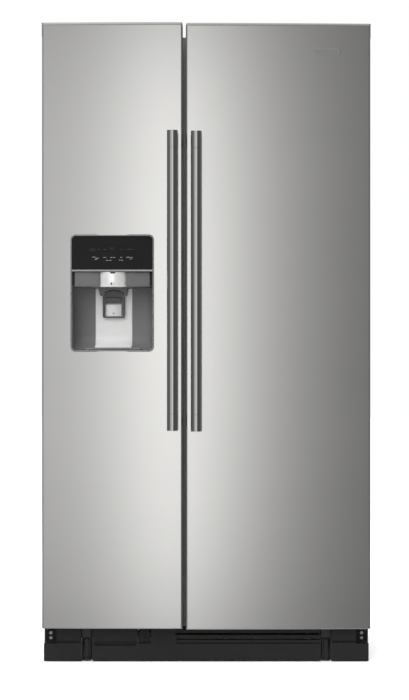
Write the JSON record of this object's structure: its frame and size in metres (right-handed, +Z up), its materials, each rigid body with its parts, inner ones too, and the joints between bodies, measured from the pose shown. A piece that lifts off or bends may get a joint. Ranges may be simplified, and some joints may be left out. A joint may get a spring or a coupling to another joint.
{
  "type": "side by side refrigerator",
  "caption": "Side by side refrigerator with bowed stainless doors, straight handles, an ice and water dispenser in the freezer door, and a louvred base grille.",
  "frame": {"origin": "on the floor, at the middle of the overall width and depth", "axes": "+Z up, the doors and handles face -Y, the freezer door is on the -X side as seen from the front"},
  "size_m": [0.9126, 0.857, 1.775],
  "materials": {
    "stainless_door": "satin",
    "handle_metal": "satin",
    "cabinet_paint": "satin",
    "rear_sheet": "satin",
    "foam": "matte",
    "liner_white": "satin",
    "frame_black": "satin",
    "grille_black": "satin",
    "hinge_metal": "satin",
    "cap_dark": "matte",
    "screw_steel": "satin",
    "valve_plastic": "matte",
    "compressor_black": "satin",
    "coil_black": "satin",
    "motor_grey": "matte",
    "shelf_glass": "polished",
    "clear_plastic": "polished",
    "white_plastic": "satin",
    "coil_aluminium": "satin",
    "gasket": "matte",
    "bezel_grey": "satin",
    "panel_black": "gloss",
    "recess_dark": "satin",
    "nozzle_silver": "gloss",
    "splash_silver": "satin",
    "paddle_grey": "satin",
    "pad_light": "satin",
    "dark_plastic": "matte",
    "arm_wire": "polished",
    "foot_dark": "matte"
  },
  "bodies": {
    "cabinet": {"cabinet_shell": "cabinet_paint", "rear_panels": "rear_sheet", "insulation_foam": "foam", "freezer_liner": "liner_white", "fresh_food_liner": "liner_white", "base_frame": "frame_black", "base_grille": "grille_black", "door_hinges": "hinge_metal", "hinge_covers": "cap_dark", "screws": "screw_steel", "water_valve": "valve_plastic", "compressor": "compressor_black", "condenser_coil": "coil_black", "drain_pan": "dark_plastic", "fan_motors": "motor_grey", "shelf_glass": "shelf_glass", "shelf_frames": "white_plastic", "icemaker": "white_plastic", "freezer_shelves": "white_plastic", "evaporator_coil": "coil_aluminium", "evaporator_cover": "liner_white", "filter_housing": "dark_plastic"},
    "freezer_door": {"freezer_door_skin": "stainless_door", "freezer_door_core": "foam", "freezer_door_liner": "liner_white", "freezer_door_gasket": "gasket", "freezer_door_caps": "cap_dark", "freezer_door_handle": "handle_metal", "freezer_door_bins": "clear_plastic", "ice_bin": "clear_plastic", "dispenser_bezel": "bezel_grey", "control_panel": "panel_black", "dispenser_housing": "recess_dark", "nozzle_cover": "nozzle_silver", "splash_plate": "splash_silver"},
    "refrigerator_door": {"refrigerator_door_skin": "stainless_door", "refrigerator_door_core": "foam", "refrigerator_door_liner": "liner_white", "refrigerator_door_gasket": "gasket", "refrigerator_door_caps": "cap_dark", "refrigerator_door_handle": "handle_metal", "refrigerator_door_bins": "clear_plastic"},
    "ice_paddle": {"ice_paddle": "paddle_grey"},
    "water_paddle": {"water_paddle": "pad_light"},
    "chute_door": {"chute_door": "dark_plastic"},
    "ice_auger": {"ice_auger": "arm_wire"},
    "dairy_lid": {"dairy_lid": "clear_plastic"},
    "upper_crisper": {"upper_crisper": "clear_plastic"},
    "lower_crisper": {"lower_crisper": "clear_plastic"},
    "freezer_basket": {"freezer_basket": "white_plastic"},
    "condenser_fan": {"condenser_fan": "dark_plastic"},
    "evaporator_fan": {"evaporator_fan": "dark_plastic"},
    "front_rollers": {"front_rollers": "dark_plastic"},
    "rear_rollers": {"rear_rollers": "dark_plastic"},
    "left_leg": {"left_leg": "foot_dark"},
    "right_leg": {"right_leg": "foot_dark"},
    "water_filter": {"water_filter": "dark_plastic"},
    "freezer_switch": {"freezer_switch": "white_plastic"},
    "refrigerator_switch": {"refrigerator_switch": "white_plastic"},
    "icemaker_arm": {"icemaker_arm": "arm_wire"}
  },
  "joints": [
    {"name": "freezer_door_hinge", "type": "hinge", "parent": "cabinet", "child": "freezer_door", "pos_m": [-0.432, -0.328, 0.935], "axis": [0, 0, -1], "range_deg": [0, 130]},
    {"name": "refrigerator_door_hinge", "type": "hinge", "parent": "cabinet", "child": "refrigerator_door", "pos_m": [0.432, -0.328, 0.933], "axis": [0, 0, 1], "range_deg": [0, 130]},
    {"name": "upper_crisper_slide", "type": "slide", "parent": "cabinet", "child": "upper_crisper", "axis": [0, -1, 0], "range_m": [0, 0.227]},
    {"name": "lower_crisper_slide", "type": "slide", "parent": "cabinet", "child": "lower_crisper", "axis": [0, -1, 0], "range_m": [0, 0.227]},
    {"name": "freezer_basket_slide", "type": "slide", "parent": "cabinet", "child": "freezer_basket", "axis": [0, -1, 0], "range_m": [0, 0.227]},
    {"name": "freezer_switch_travel", "type": "slide", "parent": "cabinet", "child": "freezer_switch", "axis": [0, -1, 0], "range_m": [0, 0.006]},
    {"name": "refrigerator_switch_travel", "type": "slide", "parent": "cabinet", "child": "refrigerator_switch", "axis": [0, -1, 0], "range_m": [0, 0.006]},
    {"name": "ice_paddle_pivot", "type": "hinge", "parent": "freezer_door", "child": "ice_paddle", "pos_m": [-0.2605, -0.255, 1.031], "axis": [1, 0, 0], "range_deg": [0, 8], "stiffness_Nm_per_rad": 0.35, "springref_deg": -17.19},
    {"name": "water_paddle_pivot", "type": "hinge", "parent": "freezer_door", "child": "water_paddle", "pos_m": [-0.2605, -0.258, 0.994], "axis": [1, 0, 0], "range_deg": [0, 8], "stiffness_Nm_per_rad": 0.12, "springref_deg": -17.19},
    {"name": "chute_door_hinge", "type": "hinge", "parent": "freezer_door", "child": "chute_door", "pos_m": [-0.2605, -0.2645, 1.0475], "axis": [1, 0, 0], "range_deg": [0, 60]},
    {"name": "ice_auger_spin", "type": "hinge", "parent": "freezer_door", "child": "ice_auger", "pos_m": [-0.2505, -0.247, 1.348], "axis": [1, 0, 0], "continuous": true},
    {"name": "dairy_lid_hinge", "type": "hinge", "parent": "refrigerator_door", "child": "dairy_lid", "pos_m": [0.1895, -0.296, 1.5435], "axis": [1, 0, 0], "range_deg": [0, 90]},
    {"name": "condenser_fan_spin", "type": "hinge", "parent": "cabinet", "child": "condenser_fan", "pos_m": [0.098, 0.29, 0.165], "axis": [1, 0, 0], "continuous": true},
    {"name": "evaporator_fan_spin", "type": "hinge", "parent": "cabinet", "child": "evaporator_fan", "pos_m": [-0.245, 0.326, 1.3], "axis": [0, 1, 0], "continuous": true},
    {"name": "front_rollers_spin", "type": "hinge", "parent": "cabinet", "child": "front_rollers", "pos_m": [0, -0.225, 0.022], "axis": [1, 0, 0], "continuous": true},
    {"name": "rear_rollers_spin", "type": "hinge", "parent": "cabinet", "child": "rear_rollers", "pos_m": [0, 0.36, 0.02], "axis": [1, 0, 0], "continuous": true},
    {"name": "left_leg_turn", "type": "hinge", "parent": "cabinet", "child": "left_leg", "pos_m": [-0.334, -0.304, 0.04], "axis": [0, 0, 1], "continuous": true},
    {"name": "right_leg_turn", "type": "hinge", "parent": "cabinet", "child": "right_leg", "pos_m": [0.334, -0.304, 0.04], "axis": [0, 0, 1], "continuous": true},
    {"name": "water_filter_pull", "type": "slide", "parent": "cabinet", "child": "water_filter", "axis": [0, -1, 0], "range_m": [0, 0.25]},
    {"name": "icemaker_arm_lift", "type": "hinge", "parent": "cabinet", "child": "icemaker_arm", "pos_m": [-0.139, -0.11, 1.62], "axis": [-1, 0, 0], "range_deg": [0, 35]}
  ],
  "couplings": [
    {"joint": "upper_crisper_slide", "follows": "refrigerator_door_hinge", "m_per_rad": 0.1},
    {"joint": "lower_crisper_slide", "follows": "refrigerator_door_hinge", "m_per_rad": 0.1},
    {"joint": "freezer_basket_slide", "follows": "freezer_door_hinge", "m_per_rad": 0.1},
    {"joint": "freezer_switch_travel", "follows": "freezer_door_hinge", "m_per_rad": 0.00264},
    {"joint": "refrigerator_switch_travel", "follows": "refrigerator_door_hinge", "m_per_rad": 0.00264},
    {"joint": "chute_door_hinge", "follows": "ice_paddle_pivot", "ratio": 7.5}
  ]
}
